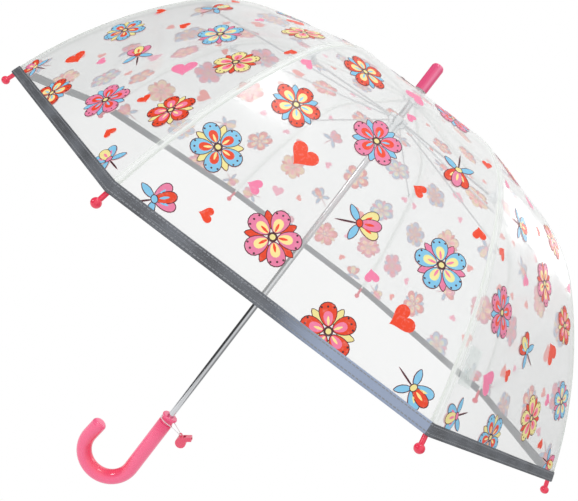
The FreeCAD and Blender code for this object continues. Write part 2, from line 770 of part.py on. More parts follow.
def make_whistle_cord():
    """A thin round cord: straight runs joined by tangent arcs."""
    route = [Vector(*point) for point in CORD_ROUTE]
    path, radii = rounded_path(route)
    cord = round_bar("whistle_cord_tube", path, route[0], route[1] - route[0], "cord_radius")
    doc.recompute()
    section = math.pi * size("cord_radius") ** 2
    print(f"cord length {path.Length:.1f}, least radius {min(radii):.1f}, "
          f"volume over section times length {cord.Shape.Volume / section / path.Length:.4f}")
    named(cord, "whistle_cord")


# ---------------------------------------------------------------- the umbrella

make_shaft()
make_handle()
make_handle_collar()
make_ferrule()
make_crown_cap()
make_top_notch()
make_runner()
for rib_number in range(1, int(size("rib_count")) + 1):
    make_rib(rib_number)
    make_rib_tip(rib_number)
    make_rib_joint(rib_number)
    make_stretcher(rib_number)
    make_canopy_gore(rib_number)
    make_hem_binding(rib_number)
make_strap()
make_whistle()
make_whistle_cord()
doc.recompute()

for item in doc.Objects:
    if {"Invalid", "Error"} & set(item.State):
        raise RuntimeError(f"{item.Label} failed: {item.State}")
for node in NODES:
    if node.Shape.isNull() or not node.Shape.isValid():
        raise RuntimeError(f"{node.Label} has no valid shape")

os.makedirs("parts", exist_ok=True)
for node in NODES:
    node.Shape.exportStep(f"parts/{node.Label}.step")
print(f"{len(NODES)} pieces, hem at height {dome_point(RIB_LENGTH)[0].z:.1f}")
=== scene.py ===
"""A child's clear dome umbrella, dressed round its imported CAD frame. All lengths are in metres."""

import math

import bmesh
import bpy
from mathutils import Matrix, Vector


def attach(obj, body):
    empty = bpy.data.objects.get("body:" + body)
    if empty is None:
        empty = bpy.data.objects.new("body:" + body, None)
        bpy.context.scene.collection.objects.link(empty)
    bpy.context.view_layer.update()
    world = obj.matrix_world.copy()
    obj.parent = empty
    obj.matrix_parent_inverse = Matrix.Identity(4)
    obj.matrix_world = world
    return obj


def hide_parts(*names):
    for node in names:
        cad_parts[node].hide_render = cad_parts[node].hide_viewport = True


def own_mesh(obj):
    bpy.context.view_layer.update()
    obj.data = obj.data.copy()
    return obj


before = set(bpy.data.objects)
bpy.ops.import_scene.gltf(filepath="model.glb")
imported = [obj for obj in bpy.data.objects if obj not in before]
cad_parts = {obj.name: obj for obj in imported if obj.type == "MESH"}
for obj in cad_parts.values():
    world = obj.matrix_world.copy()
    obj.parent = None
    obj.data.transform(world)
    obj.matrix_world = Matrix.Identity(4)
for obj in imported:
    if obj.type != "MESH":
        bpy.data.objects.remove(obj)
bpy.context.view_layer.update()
rib_numbers = range(1, 9)


# ------------------------------------------------------------ the steel shaft
# A thin steel tube, drawn and then chromed, that everything else is fixed to or slides on.
# It keeps its CAD shape, with the two holes that the runner's pawl drops into.


class Shade:
    """A value in a finish's node tree that takes Python's arithmetic."""

    def __init__(self, finish, socket):
        self.finish, self.socket = finish, socket

    def maths(self, operation, *values):
        return self.finish.maths_of(operation, *values)

    def __add__(self, other):
        return self.maths("ADD", self, other)

    def __sub__(self, other):
        return self.maths("SUBTRACT", self, other)

    def __rsub__(self, other):
        return self.maths("SUBTRACT", other, self)

    def __mul__(self, other):
        return self.maths("MULTIPLY", self, other)

    def __truediv__(self, other):
        return self.maths("DIVIDE", self, other)

    def __mod__(self, other):
        return self.maths("FLOORED_MODULO", self, other)

    def __lt__(self, other):
        return self.maths("LESS_THAN", self, other)

    def __abs__(self):
        return self.maths("ABSOLUTE", self)

    __radd__, __rmul__ = __add__, __mul__

    def at_most(self, most):
        return self.maths("MINIMUM", self, most)

    def eased(self, low, high, start=0.0, end=1.0):
        """A smooth step from start to end as the value goes from low to high."""
        return self.finish.node(
            "ShaderNodeMapRange",
            {"interpolation_type": "SMOOTHSTEP"},
            {"Value": self, 1: low, 2: high, 3: start, 4: end},
        )


class Finish:
    """A material, or the studio's air, that is built node by node."""

    def __init__(self, name, kind="materials"):
        self.made = getattr(bpy.data, kind).new(name)
        self.made.use_nodes = True
        self.tree = self.made.node_tree
        self.tree.nodes.clear()

    def maths_of(self, operation, *values):
        return self.node("ShaderNodeMath", {"operation": operation}, dict(enumerate(values)))

    def node(self, kind, settings=None, inputs=None, output=0):
        """Adds a node. Its settings are made first, then its sockets get values or links."""
        made = self.tree.nodes.new(kind)
        for key, value in (settings or {}).items():
            setattr(made, key, value)
        for key, value in (inputs or {}).items():
            if isinstance(value, Shade):
                self.tree.links.new(value.socket, made.inputs[key])
            else:
                made.inputs[key].default_value = value
        return Shade(self, made.outputs[output])

    def place(self, stretch=(1, 1, 1), middle=(0, 0, 0)):
        """The point on the piece, from a middle and stretched."""
        at = self.node("ShaderNodeTexCoord", output="Object")
        centred = self.node("ShaderNodeMapping", {}, {"Vector": at, "Location": [-v for v in middle]})
        return self.node("ShaderNodeMapping", {}, {"Vector": centred, "Scale": stretch})

    def parts(self, vector):
        return [self.node("ShaderNodeSeparateXYZ", {}, {"Vector": vector}, i) for i in range(3)]

    def across_and_along(self):
        """The two numbers of the piece's own UV map, which is in metres."""
        return self.parts(self.node("ShaderNodeUVMap", {"uv_map": "measured"}))[:2]

    def combined(self, x, y, z):
        return self.node("ShaderNodeCombineXYZ", {}, {0: x, 1: y, 2: z})

    def noise(self, at, scale, detail=3.0):
        return self.node(
            "ShaderNodeTexNoise", {}, {"Vector": at, "Scale": scale, "Detail": detail}
        )

    def blend(self, share, first, second):
        """Two colours mixed."""
        return self.node(
            "ShaderNodeMix", {"data_type": "RGBA"}, {0: share, 6: first, 7: second}, 2
        )

    def bump(self, height, distance, strength=1.0):
        return self.node(
            "ShaderNodeBump",
            {},
            {"Height": height, "Distance": distance, "Strength": strength},
        )

    def surface(self, colour, **sockets):
        given = {k.replace("_", " "): v for k, v in sockets.items()}
        return self.node("ShaderNodeBsdfPrincipled", {}, {"Base Color": colour, **given})

    def skin(self, colour, **sockets):
        """The material that a surface shader alone makes."""
        return self.shown(self.surface(colour, **sockets))

    def lit_through(self, shader, share, tone=(0.96, 0.97, 0.97, 1)):
        """A thin sheet's shader that also shows some of the light on its other side."""
        behind = self.node("ShaderNodeBsdfTranslucent", {}, {"Color": tone})
        return self.node("ShaderNodeMixShader", {}, {0: share, 1: shader, 2: behind})

    def shown(self, shader, kind="Material"):
        """Ends the tree with a shader, and gives back the material or the world."""
        out = self.tree.nodes.new("ShaderNodeOutput" + kind)
        self.tree.links.new(shader.socket, out.inputs["Surface"])
        return self.made


def colour(red, green, blue):
    """A screen colour, from 0 to 255, as the shaders want it."""
    shares = [v / 255 for v in (red, green, blue)]
    return (*(c / 12.92 if c <= 0.04045 else ((c + 0.055) / 1.055) ** 2.4 for c in shares), 1.0)


def give(material, *nodes):
    """Puts one material on whole CAD nodes."""
    for node in nodes:
        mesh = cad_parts[node].data
        mesh.materials.clear()
        mesh.materials.append(material)


def chrome_plate():
    plate = Finish("chrome_plate")
    drawn = plate.noise(plate.place((900, 900, 12)), 1.0)
    smudge = plate.noise(plate.place(), 28.0)
    return plate.skin(
        plate.blend(smudge, colour(214, 217, 221), colour(240, 241, 243)),
        Metallic=1.0,
        Roughness=0.05 + 0.06 * drawn + 0.05 * smudge,
        Normal=plate.bump(drawn, 0.00001, 0.5),
    )


give(chrome_plate(), "shaft")


# ------------------------------------------------------------ handle, collar and ferrule
# The hooked handle, the flared collar above it and the ferrule on top are moulded in glossy plastic,
# and pushed on the shaft. The colour is a little uneven, as thick moulded plastic is. Shade is painted
# into the handle under the collar and inside the hook, and a highlight is painted up the ferrule.


def moulded(name, main, deep, roughness=0.18):
    """Plastic of one main colour that is deeper where the melt flowed thick."""
    plastic = Finish(name)
    flow = plastic.noise(plastic.place(), 24.0, 2.0).eased(0.35, 0.7)
    return glossed(plastic, plastic.blend(flow, main, deep), roughness)


def glossed(plastic, tone, roughness):
    """The gloss of moulded plastic: faint flow marks under a clear shine."""
    swirl = plastic.noise(plastic.place(), 60.0, 2.0)
    return plastic.skin(
        tone,
        Roughness=roughness + 0.08 * swirl,
        Normal=plastic.bump(swirl, 0.0002, 0.15),
        Coat_Weight=0.7,
        Coat_Roughness=0.08,
    )


GRIP_RADIUS = 0.0098
HOOK_LINE = 0.0345
HOOK_INSIDE = HOOK_LINE - GRIP_RADIUS
HOOK_MIDDLE = (-HOOK_LINE, 0.0, -0.0395)
COLLAR_SHADE_HEIGHTS = (0.052, 0.086)


def handle_plastic():
    """Painted shade: deeper in colour under the collar, at heights over the hook's middle, and redder
    inside the hook.
    """
    plastic = Finish("handle_plastic")
    x, _, z = plastic.parts(plastic.place(middle=HOOK_MIDDLE))
    reach = plastic.maths_of("SQRT", x * x + z * z)
    cloud = plastic.noise(plastic.place(), 30.0, 2.0)
    # Painted shade: redder inside the hook, and deeper in colour under the collar, where the plastic lies
    # in shade.
    red = reach.eased(HOOK_INSIDE + 0.001, HOOK_LINE, 1.0, 0.0)
    deep = (z + 0.004 * cloud).eased(*COLLAR_SHADE_HEIGHTS)
    outside = plastic.blend(deep, colour(255, 104, 146), colour(243, 66, 118))
    return glossed(plastic, plastic.blend(red * 0.8, outside, colour(252, 72, 100)), 0.14)


def ferrule_plastic():
    """Two faint pale lines of painted highlight run up the ferrule, on opposite sides."""
    plastic = Finish("ferrule_plastic")
    x, y, _ = plastic.parts(plastic.place())
    # Painted highlight: a paler colour along two lines up the ferrule.
    painted_highlight = abs(x + 0.35 * y).eased(0.0005, 0.0035, 1.0, 0.0)
    cloud = plastic.noise(plastic.place(), 50.0, 2.0)
    tone = plastic.blend(cloud, colour(238, 88, 136), colour(230, 78, 126))
    return glossed(plastic, plastic.blend(painted_highlight * 0.55, tone, colour(255, 150, 185)), 0.2)


give(handle_plastic(), "handle")
give(moulded("collar_plastic", colour(248, 88, 134), colour(240, 72, 120), 0.16), "handle_collar")
give(ferrule_plastic(), "ferrule")


# ------------------------------------------------------------ crown cap, notch and runner
# A clear cap holds the film down round the shaft. The notch below it and the sliding runner are
# moulded in white plastic, each with a slotted flange and a ring of wire that the ends hinge on.

give(
    moulded("white_plastic", colour(242, 244, 245), colour(234, 238, 240), 0.3),
    "top_notch",
    "runner",
    *(f"rib_joint_{k}" for k in rib_numbers),
)
give(moulded("button_plastic", colour(248, 100, 140), colour(240, 92, 130)), "runner_button")


def clear_moulding():
    clear = Finish("clear_moulding")
    cloud = clear.noise(clear.place(), 90.0)
    return clear.skin(
        colour(238, 244, 242),
        Roughness=0.12 + 0.1 * cloud,
        Alpha=0.36 + 0.15 * cloud,
        Coat_Weight=0.5,
    )


give(clear_moulding(), "crown_cap", "closing_strap", "strap_stud")


# ------------------------------------------------------------ ribs, tips and stretchers
# Each rib is a pulled glass-fibre rod with a ball tip pushed on its end. The stretchers are
# zinc-plated steel wire, flattened and riveted at the rib.


def glass_fibre():
    rod = Finish("glass_fibre")
    strands = rod.noise(rod.place((1500, 1500, 300)), 1.0)
    return rod.skin(
        rod.blend(strands, colour(247, 248, 246), colour(234, 237, 235)),
        Roughness=0.35 + 0.15 * strands,
        Normal=rod.bump(strands, 0.00003),
    )


def plated_wire():
    wire = Finish("plated_wire")
    pitted = wire.noise(wire.place(), 700.0)
    return wire.skin(
        wire.blend(pitted, colour(226, 228, 230), colour(204, 207, 210)),
        Metallic=0.6,
        Roughness=0.3 + 0.2 * pitted,
        Normal=wire.bump(pitted, 0.00003),
    )


give(glass_fibre(), *(f"rib_{k}" for k in rib_numbers))
give(plated_wire(), *(f"stretcher_{k}" for k in rib_numbers))
give(
    moulded("tip_plastic", colour(245, 52, 86), colour(232, 38, 74), 0.18),
    *(f"rib_tip_{k}" for k in rib_numbers),
)


# ------------------------------------------------------------ canopy film
# Eight panels of thin clear film, cut in the dome's curve and drawn tight between the ribs. One piece
# is the film on both sides of a rib, out to the middle of its two panels, where the next piece goes on.

SLICE = math.pi / 8
CROWN = (0.009, 0.5305)
CROWN_SLOPE = math.radians(8.4)
CROWN_RUN = 0.1507
BENDS = ((0.172, math.radians(38.3)), (0.495, math.radians(22.0)))
RIB_LENGTH = CROWN_RUN + sum(radius * turn for radius, turn in BENDS)
FILM_OUT = 0.00315
HEM_DEPTH = 0.0095


def rib_line(along, out):
    """How far a point is from the shaft, and how high, that is along a rib's line and out from it."""
    slope, (x, z) = CROWN_SLOPE, CROWN
    run = min(along, CROWN_RUN)
    x, z, along = x + run * math.cos(slope), z - run * math.sin(slope), along - run
    for radius, turn in BENDS:
        bent = min(along / radius, turn)
        x += radius * (math.sin(slope + bent) - math.sin(slope))
        z += radius * (math.cos(slope + bent) - math.cos(slope))
        slope, along = slope + bent, along - bent * radius
    x, z = x + along * math.cos(slope), z - along * math.sin(slope)
    return x + out * math.sin(slope), z + out * math.cos(slope)


def half_width(along):
    """From a panel's middle line to its rib."""
    return rib_line(along, FILM_OUT)[0] * math.sin(SLICE)


def rib_azimuth(number):
    return (number - 0.5) * 2 * SLICE


def ripple(panel, share, along):
    """How far the film stands off its drawn line: slack waves that die out at the ribs and the crown."""
    panel = (panel - 1) % 8 + 1
    down = max(0.0, along / RIB_LENGTH)
    slack = math.sin(math.pi * share) * down
    wave = math.sin(9 * share + 1.7 * panel + 14 * down) * math.cos(4 * share - 21 * down + panel)
    tension = math.sin(38 * down + 2.1 * panel) * (0.5 - share) * down
    return 0.0009 * slack * wave + 0.0011 * slack * tension


def panel_point(panel, along, share, lift, aside=None):
    """A point of a panel, along its ribs, at a share of the way across and lifted off the film.

    Print gives how far aside of the middle line it is as well, so that its inks stay on each other.
    """
    azimuth = rib_azimuth(panel) + SLICE
    out_way = Vector((math.cos(azimuth), math.sin(azimuth), 0))
    side_way = Vector((-math.sin(azimuth), math.cos(azimuth), 0))
    radius, height = rib_line(along, FILM_OUT + lift + ripple(panel, share, along))
    if aside is None:
        aside = (2 * share - 1) * radius * math.sin(SLICE)
    return out_way * radius * math.cos(SLICE) + side_way * aside + Vector((0, 0, height))


def beside_rib(number, across, along, lift):
    """A point of the film at a share across, from -1 to 1, of the two half panels beside a rib."""
    if across < 0:
        return panel_point(number - 1, along, 1 + across / 2, lift)
    return panel_point(number, along, across / 2, lift)


def finished(name, mesh, *materials):
    """Makes the piece of a bmesh that is ready."""
    data = bpy.data.meshes.new(name)
    mesh.to_mesh(data)
    mesh.free()
    for material in materials:
        data.materials.append(material)
    for face in data.polygons:
        face.use_smooth = True
    piece = bpy.data.objects.new(name, data)
    bpy.context.scene.collection.objects.link(piece)
    return piece


def face_out(mesh):
    """Turns an open sheet's faces away from the inside of the dome."""
    mesh.normal_update()
    inside = Vector((0, 0, 0.1))
    inward = [f for f in mesh.faces if f.normal.dot(f.calc_center_median() - inside) < 0]
    bmesh.ops.reverse_faces(mesh, faces=inward)


def strip_beside_rib(name, number, span, reach, steps, shape, material):
    """A sheet on both sides of a rib, shaped from a grid, with a UV map in metres.

    The strip goes out to its reach, or with None to the middle of both panels. The shape turns
    a place across, from -1 to 1, and one in the span into a length along the rib and a lift.
    """
    mesh = bmesh.new()
    measured = mesh.loops.layers.uv.new("measured")
    bmesh.ops.create_grid(mesh, x_segments=steps[0], y_segments=steps[1], size=1.0)
    laid = {}
    for vert in mesh.verts:
        across, down = vert.co.x, (vert.co.y + 1) / 2
        along, lift = shape(across, span[0] + (span[1] - span[0]) * down)
        wide = half_width(along)
        share = across if reach is None else across * reach / wide
        laid[vert] = (share * wide, along)
        vert.co = beside_rib(number, share, along, lift)
    for face in mesh.faces:
        for loop in face.loops:
            loop[measured].uv = laid[loop.vert]
    face_out(mesh)
    return finished(name, mesh, material)


def folds_with(piece, number):
    """Puts the piece on its rib's body, with a mesh of its own."""
    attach(piece, f"rib_{number}")
    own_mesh(piece)


def clear_film():
    film = Finish("clear_film")
    across, along = film.across_and_along()
    cloud = film.noise(film.place(), 14.0, 2.0)
    creased = film.noise(film.place((1, 1, 0.35)), 26.0, 3.0)
    beside_weld = abs(across).eased(0.004, 0.016, 1.0, 0.0) * 0.1
    hem_crinkle = along.eased(RIB_LENGTH - 0.05, RIB_LENGTH - HEM_DEPTH) * 0.04
    facing = film.node("ShaderNodeLayerWeight", {}, {"Blend": 0.25}, 1)
    crease = film.bump(creased, 0.0006, 0.25)
    veil = film.surface(
        film.blend(cloud, colour(234, 238, 237), colour(246, 249, 248)),
        Roughness=0.3,
        Alpha=0.2 + 0.08 * cloud + beside_weld + hem_crinkle + facing * facing * 0.15,
        Normal=crease,
    )
    sheen = {"Color": (1, 1, 1, 1), "Roughness": 0.12, "Normal": crease}
    gloss = film.node("ShaderNodeBsdfGlossy", {}, sheen)
    share = (film.node("ShaderNodeFresnel", {}, {"IOR": 1.45}) * 0.8).at_most(0.2)
    glowing = film.lit_through(veil, 0.13)
    return film.shown(film.node("ShaderNodeMixShader", {}, {0: share, 1: glowing, 2: gloss}))


def lets_light_in(piece):
    """Clear film, with what is on it, keeps no light from the things under it."""
    piece.visible_shadow = piece.visible_diffuse = False


def film_profile(across, along):
    """The film lies on its own line."""
    return along, 0.0


CUT_STEPS = 60
CUT_WIDTH = 2 * half_width(RIB_LENGTH)
CUT_AREA = sum(
    2 * half_width(RIB_LENGTH * (step + 0.5) / CUT_STEPS) for step in range(CUT_STEPS)
) * RIB_LENGTH / CUT_STEPS

film_finish = clear_film()
for k in rib_numbers:
    film = strip_beside_rib(f"film_{k}", k, (0.0, RIB_LENGTH), None, (40, 96), film_profile, film_finish)
    lets_light_in(film)
    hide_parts(f"canopy_gore_{k}")
    folds_with(film, k)


# ------------------------------------------------------------ welded seams
# Along each rib two panels lie on each other and are welded by heat. The weld is a band a little
# thicker and milkier than the film, with a ridge where the iron pressed along both sides.

WELD_REACH = 0.0042
WELD_RISE = 0.00022
WELD_SPAN = (0.012, RIB_LENGTH - HEM_DEPTH)
RIDGE_SHARE = 0.7
IRON_PITCH = 0.0016


def weld_profile(across, along):
    """The weld's height over the film: ridges near both edges and a low middle."""
    ridge = math.exp(-(((abs(across) - RIDGE_SHARE) / 0.16) ** 2))
    return along, WELD_RISE * (0.55 + ridge) * (1 - abs(across) ** 6)


def weld_finish():
    weld = Finish("welded_film")
    across, along = weld.across_and_along()
    ridges = abs(abs(across) - RIDGE_SHARE * WELD_REACH).eased(0.0, 0.0008, 1.0, 0.0)
    pressed = (along / IRON_PITCH) % 1.0
    cloud = weld.noise(weld.place(), 120.0)
    band = weld.surface(
        weld.blend(ridges, colour(236, 241, 236), colour(220, 228, 216)),
        Roughness=0.22 + 0.15 * cloud,
        Alpha=0.26 + 0.34 * ridges + 0.1 * cloud,
        Normal=weld.bump(abs(pressed - 0.5) * 0.3 + ridges, 0.0002, 0.6),
    )
    return weld.shown(weld.lit_through(band, 0.08))


welded = weld_finish()
for k in rib_numbers:
    weld = strip_beside_rib(f"seam_weld_{k}", k, WELD_SPAN, WELD_REACH, (12, 110), weld_profile, welded)
    lets_light_in(weld)
    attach(weld, f"rib_{k}")


# ------------------------------------------------------------ hem tape
# A grey reflective tape, folded over the film's edge all round and sewn through with two rows of
# stitches. It is woven, and coated with fine glass beads that glitter.

# Half of the tape's fold: how far each corner is up from the hem, and how far off the film.
TAPE_OUTSIDE = (
    (HEM_DEPTH, 0.00062),
    (0.0085, 0.0008),
    (0.0055, 0.00078),
    (0.0018, 0.00082),
    (0.0002, 0.0007),
    (-0.0004, 0.0003),
)
TAPE_FOLD = (*TAPE_OUTSIDE, (-0.0005, 0.0), *((up, -off) for up, off in reversed(TAPE_OUTSIDE)))
STITCH_ROWS = (0.0078, 0.0016)
STITCH_WIDTH = 0.0008
STITCH_PITCH, STITCH_SHARE = 0.0032, 0.72
WARP_PITCH, WEFT_PITCH = 0.0007, 0.0006
PAINTED_SHEEN_FROM, PAINTED_SHEEN_TO, PAINTED_SHEEN_FRONT = -0.01, 0.135, 0.3


def hem_profile(across, turn):
    """Where the tape lies at a share of the way round its fold."""
    spot = turn * (len(TAPE_FOLD) - 1)
    first = min(int(spot), len(TAPE_FOLD) - 2)
    (up, off), (next_up, next_off) = TAPE_FOLD[first : first + 2]
    part = spot - first
    return RIB_LENGTH - (up + (next_up - up) * part), off + (next_off - off) * part


def reflective_tape():
    """Grey cloth under glass beads, with a bluish sheen painted on one stretch of the front, where it
    faces the lamp.
    """
    tape = Finish("reflective_tape")
    across, along = tape.across_and_along()
    from_edge = RIB_LENGTH - along
    weave = (across / WARP_PITCH) % 1.0 * ((along / WEFT_PITCH) % 1.0)
    beads = tape.noise(tape.place(), 1900.0, 2.0)
    worn = tape.noise(tape.place(), 30.0, 3.0)
    upper, lower = (abs(from_edge - row) < STITCH_WIDTH / 2 for row in STITCH_ROWS)
    stitch = (upper + lower) * ((across / STITCH_PITCH) % 1.0 < STITCH_SHARE)
    fibres = tape.noise(tape.combined(across * 40, along * 2200, 0), 1.0, 2.0).eased(0.52, 0.75)
    cloth = tape.blend(worn.eased(0.3, 0.75), colour(92, 94, 98), colour(118, 122, 129))
    brushed = tape.blend(fibres * 0.5, cloth, colour(168, 172, 178))
    glitter = tape.blend(beads.eased(0.62, 0.72), brushed, colour(176, 182, 192))
    # Painted sheen: the tape is paler and bluish on one stretch of its front, standing in for lamplight
    # that the beads throw back.
    x, y, _ = tape.parts(tape.place())
    in_front = (0 - y).eased(PAINTED_SHEEN_FRONT, PAINTED_SHEEN_FRONT + 0.01)
    painted_sheen = x.eased(PAINTED_SHEEN_FROM, PAINTED_SHEEN_FROM + 0.06) * (x < PAINTED_SHEEN_TO) * in_front
    beads_and_painted_sheen = tape.blend(painted_sheen * 0.85, glitter, colour(168, 182, 208))
    return tape.skin(
        tape.blend(stitch, beads_and_painted_sheen, colour(150, 153, 158)),
        Roughness=0.4 + 0.25 * beads,
        Metallic=0.35,
        Normal=tape.bump(weave * 0.5 + stitch * 2 + beads * 0.4, 0.00012, 0.8),
    )


tape_finish = reflective_tape()
for k in rib_numbers:
    tape = strip_beside_rib(f"hem_tape_{k}", k, (0.0, 1.0), None, (64, 36), hem_profile, tape_finish)
    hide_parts(f"hem_binding_{k}")
    folds_with(tape, k)


# ------------------------------------------------------------ printed flowers and hearts
# Five-petalled flowers, buds and plain hearts are screen-printed on the outside of the film, each in
# several flat inks that lie on each other. A motif at the middle of a panel is cut there with the film.

INKS = {
    "dark": colour(74, 22, 34),
    "red": colour(243, 66, 18),
    "pink": colour(246, 132, 172),
    "blue": colour(136, 208, 244),
    "yellow": colour(254, 240, 158),
}
INK_LIFT, INK_LAYER = 0.00028, 0.00007
OUTLINE = 0.0007
LONGEST_EDGE = 0.004


def disc(turn):
    return math.sin(turn), math.cos(turn)


def petal(turn):
    """Narrow at the root and round at the end, one unit each way from its middle."""
    return math.sin(turn) * (0.86 + 0.2 * math.cos(turn)), math.cos(turn)


def leaf(turn):
    """Pointed at both ends."""
    return math.sin(turn) * abs(math.sin(turn)) ** 0.5, math.cos(turn)


def heart(turn):
    lobes = 13 * math.cos(turn) - 5 * math.cos(2 * turn) - 2 * math.cos(3 * turn) - math.cos(4 * turn)
    return math.sin(turn) ** 3, (lobes + 2) / 16


def stamp(mesh, shape, ink, layer, wide, long, place, points=18):
    """One flat shape of one ink, put in its place. A higher layer lies over a lower one."""
    disc_made = bmesh.ops.create_circle(mesh, cap_ends=True, cap_tris=True, segments=points, radius=1.0)
    made = disc_made["verts"]
    for vert in made:
        if vert.co.length > 0.5:
            side, up = shape(math.atan2(vert.co.x, vert.co.y))
            vert.co = (side * wide, up * long, 0)
    bmesh.ops.transform(mesh, verts=made, matrix=place)
    for vert in made:
        vert.co.z = INK_LIFT + INK_LAYER * layer
        for face in vert.link_faces:
            face.material_index = list(INKS).index(ink)


def outlined(mesh, shape, ink, edge, layer, wide, long, place, points=18):
    """A shape over a slightly larger one in the edge's ink."""
    stamp(mesh, shape, edge, layer, wide + OUTLINE, long + OUTLINE, place, points)
    stamp(mesh, shape, ink, layer + 1, wide, long, place, points)


def spun(place, degrees, out):
    """A place turned on the spot and moved out from its middle."""
    return place @ Matrix.Rotation(math.radians(degrees), 4, "Z") @ Matrix.Translation((0, out, 0))


def flower(mesh, place, reach, inks):
    """Five outlined petals with a streak and a dot on each, round a dark eye."""
    outer, inner, mark, edge = inks
    for turn in range(36, 396, 72):
        outlined(mesh, leaf, mark, edge, 0, reach * 0.13, reach * 0.3, spun(place, turn, reach * 0.62), 10)
    for turn in range(0, 360, 72):
        outlined(mesh, petal, outer, edge, 2, reach * 0.34, reach * 0.4, spun(place, turn, reach * 0.58))
        stamp(mesh, petal, inner, 4, reach * 0.19, reach * 0.25, spun(place, turn, reach * 0.44), 14)
        for dot in (turn - 15, turn, turn + 15):
            stamp(mesh, disc, edge, 5, reach * 0.04, reach * 0.04, spun(place, dot, reach * 0.84), 7)
        stamp(mesh, leaf, mark, 5, reach * 0.05, reach * 0.17, spun(place, turn, reach * 0.36), 8)
    stamp(mesh, disc, "dark", 6, reach * 0.17, reach * 0.17, place)
    stamp(mesh, disc, "yellow", 7, reach * 0.1, reach * 0.1, place, 12)


def bud(mesh, place, reach, inks):
    """A flower seen from the side: a stem with two leaves, and three petals that open upwards."""
    outer, inner, mark, edge = inks
    stamp(mesh, leaf, "dark", 0, reach * 0.04, reach * 0.5, spun(place, 180, reach * 0.45), 10)
    for turn in (-118, 118):
        spot = spun(place, turn, reach * 0.42)
        outlined(mesh, leaf, "blue", "dark", 1, reach * 0.13, reach * 0.34, spot, 12)
    for turn, ink, layer in ((-34, outer, 3), (34, outer, 3), (0, inner, 5)):
        spot = spun(place, turn, reach * 0.42)
        outlined(mesh, petal, ink, edge, layer, reach * 0.25, reach * 0.42, spot)
        stamp(mesh, leaf, mark, layer + 2, reach * 0.06, reach * 0.2, spun(place, turn, reach * 0.38), 8)
    outlined(mesh, disc, mark, "dark", 8, reach * 0.15, reach * 0.11, place, 12)


def plain_heart(mesh, place, reach, inks):
    stamp(mesh, heart, inks[0], 0, reach, reach, place, 30)


# Each motif: its shape, how far across the panel from -1 to 1, how far down it, its reach and its turn.
MOTIFS = (
    (plain_heart, 0.20, 0.100, 0.0036, 20),
    (flower, -0.10, 0.190, 0.0150, 10),
    (plain_heart, 0.60, 0.250, 0.0046, -30),
    (plain_heart, -0.70, 0.290, 0.0050, 160),
    (bud, 0.40, 0.335, 0.0185, 48),
    (flower, -0.44, 0.400, 0.0200, 33),
    (plain_heart, 0.06, 0.445, 0.0100, -18),
    (flower, 0.58, 0.500, 0.0200, 5),
    (plain_heart, -0.84, 0.500, 0.0050, 45),
    (plain_heart, 0.00, 0.530, 0.0050, 75),
    (bud, -0.56, 0.570, 0.0200, -64),
    (plain_heart, 0.90, 0.585, 0.0055, 200),
    (flower, 0.10, 0.635, 0.0215, 50),
    (plain_heart, -0.34, 0.665, 0.0062, 8),
    (flower, 0.68, 0.680, 0.0200, 22),
    (plain_heart, -0.86, 0.660, 0.0060, 30),
    (flower, -0.68, 0.760, 0.0215, 64),
    (plain_heart, 0.40, 0.755, 0.0115, 14),
    (bud, -0.12, 0.790, 0.0200, 118),
    (plain_heart, -0.34, 0.850, 0.0056, -40),
    (flower, 0.78, 0.835, 0.0200, 80),
    (plain_heart, 0.48, 0.850, 0.0060, 100),
    (flower, 0.22, 0.900, 0.0215, 40),
    (plain_heart, -0.60, 0.880, 0.0105, -12),
    (flower, -0.30, 0.965, 0.0205, 0),
    (plain_heart, 0.56, 0.935, 0.0058, 30),
    (bud, 0.80, 0.965, 0.0185, -20),
    (bud, -0.82, 0.955, 0.0185, 70),
)
FLOWER_INKS = (
    ("red", "pink", "yellow", "dark"),
    ("yellow", "pink", "red", "dark"),
    ("pink", "red", "blue", "dark"),
    ("blue", "red", "yellow", "dark"),
    ("red", "yellow", "blue", "dark"),
    ("pink", "yellow", "red", "dark"),
    ("blue", "yellow", "pink", "dark"),
)
HEART_INKS = (("red",), ("red",), ("pink",), ("red",), ("pink",))


TURN_ON = 47


def half_panel_print(mesh, panel, side):
    """The print of one half of a panel, to the left (-1) or right (1) of its middle line.

    Every other panel is mirrored, and the motifs are turned on from panel to panel. A copy inside
    the film shows the print from behind.
    """
    flat = bmesh.new()
    flip = 1 if panel % 2 else -1
    for number, (motif, across, down, reach, turn) in enumerate(MOTIFS):
        along = down * RIB_LENGTH
        turned = math.radians(flip * turn + TURN_ON * panel * (number % 3))
        place = Matrix.Translation((across * flip * half_width(along), along, 0))
        place = place @ Matrix.Rotation(turned, 4, "Z")
        inks = HEART_INKS if motif is plain_heart else FLOWER_INKS
        motif(flat, place, reach, inks[(number + 3 * panel) % len(inks)])
    hem_top = RIB_LENGTH - HEM_DEPTH
    for middle, way in (((0, 0, 0), (-side, 0, 0)), ((0, hem_top, 0), (0, 1, 0))):
        everything = flat.verts[:] + flat.edges[:] + flat.faces[:]
        bmesh.ops.bisect_plane(flat, geom=everything, plane_co=middle, plane_no=way, clear_outer=True)
    coarse = [edge for edge in flat.edges if edge.calc_length() > LONGEST_EDGE]
    bmesh.ops.subdivide_edges(flat, edges=coarse, cuts=1)
    everything = flat.verts[:] + flat.edges[:] + flat.faces[:]
    for part in bmesh.ops.duplicate(flat, geom=everything)["geom"]:
        if isinstance(part, bmesh.types.BMVert):
            part.co.z *= -1
        elif isinstance(part, bmesh.types.BMFace):
            part.material_index += len(INKS)
    for vert in flat.verts:
        aside, along, lift = vert.co
        share = 0.5 + aside / half_width(along) / 2
        vert.co = panel_point(panel, along, share, lift, aside)
    spread = bpy.data.meshes.new("spread")
    flat.to_mesh(spread)
    flat.free()
    mesh.from_mesh(spread)
    bpy.data.meshes.remove(spread)


def whitened(tone, share):
    return (*(c + (0.97 - c) * share for c in tone[:3]), 1.0)


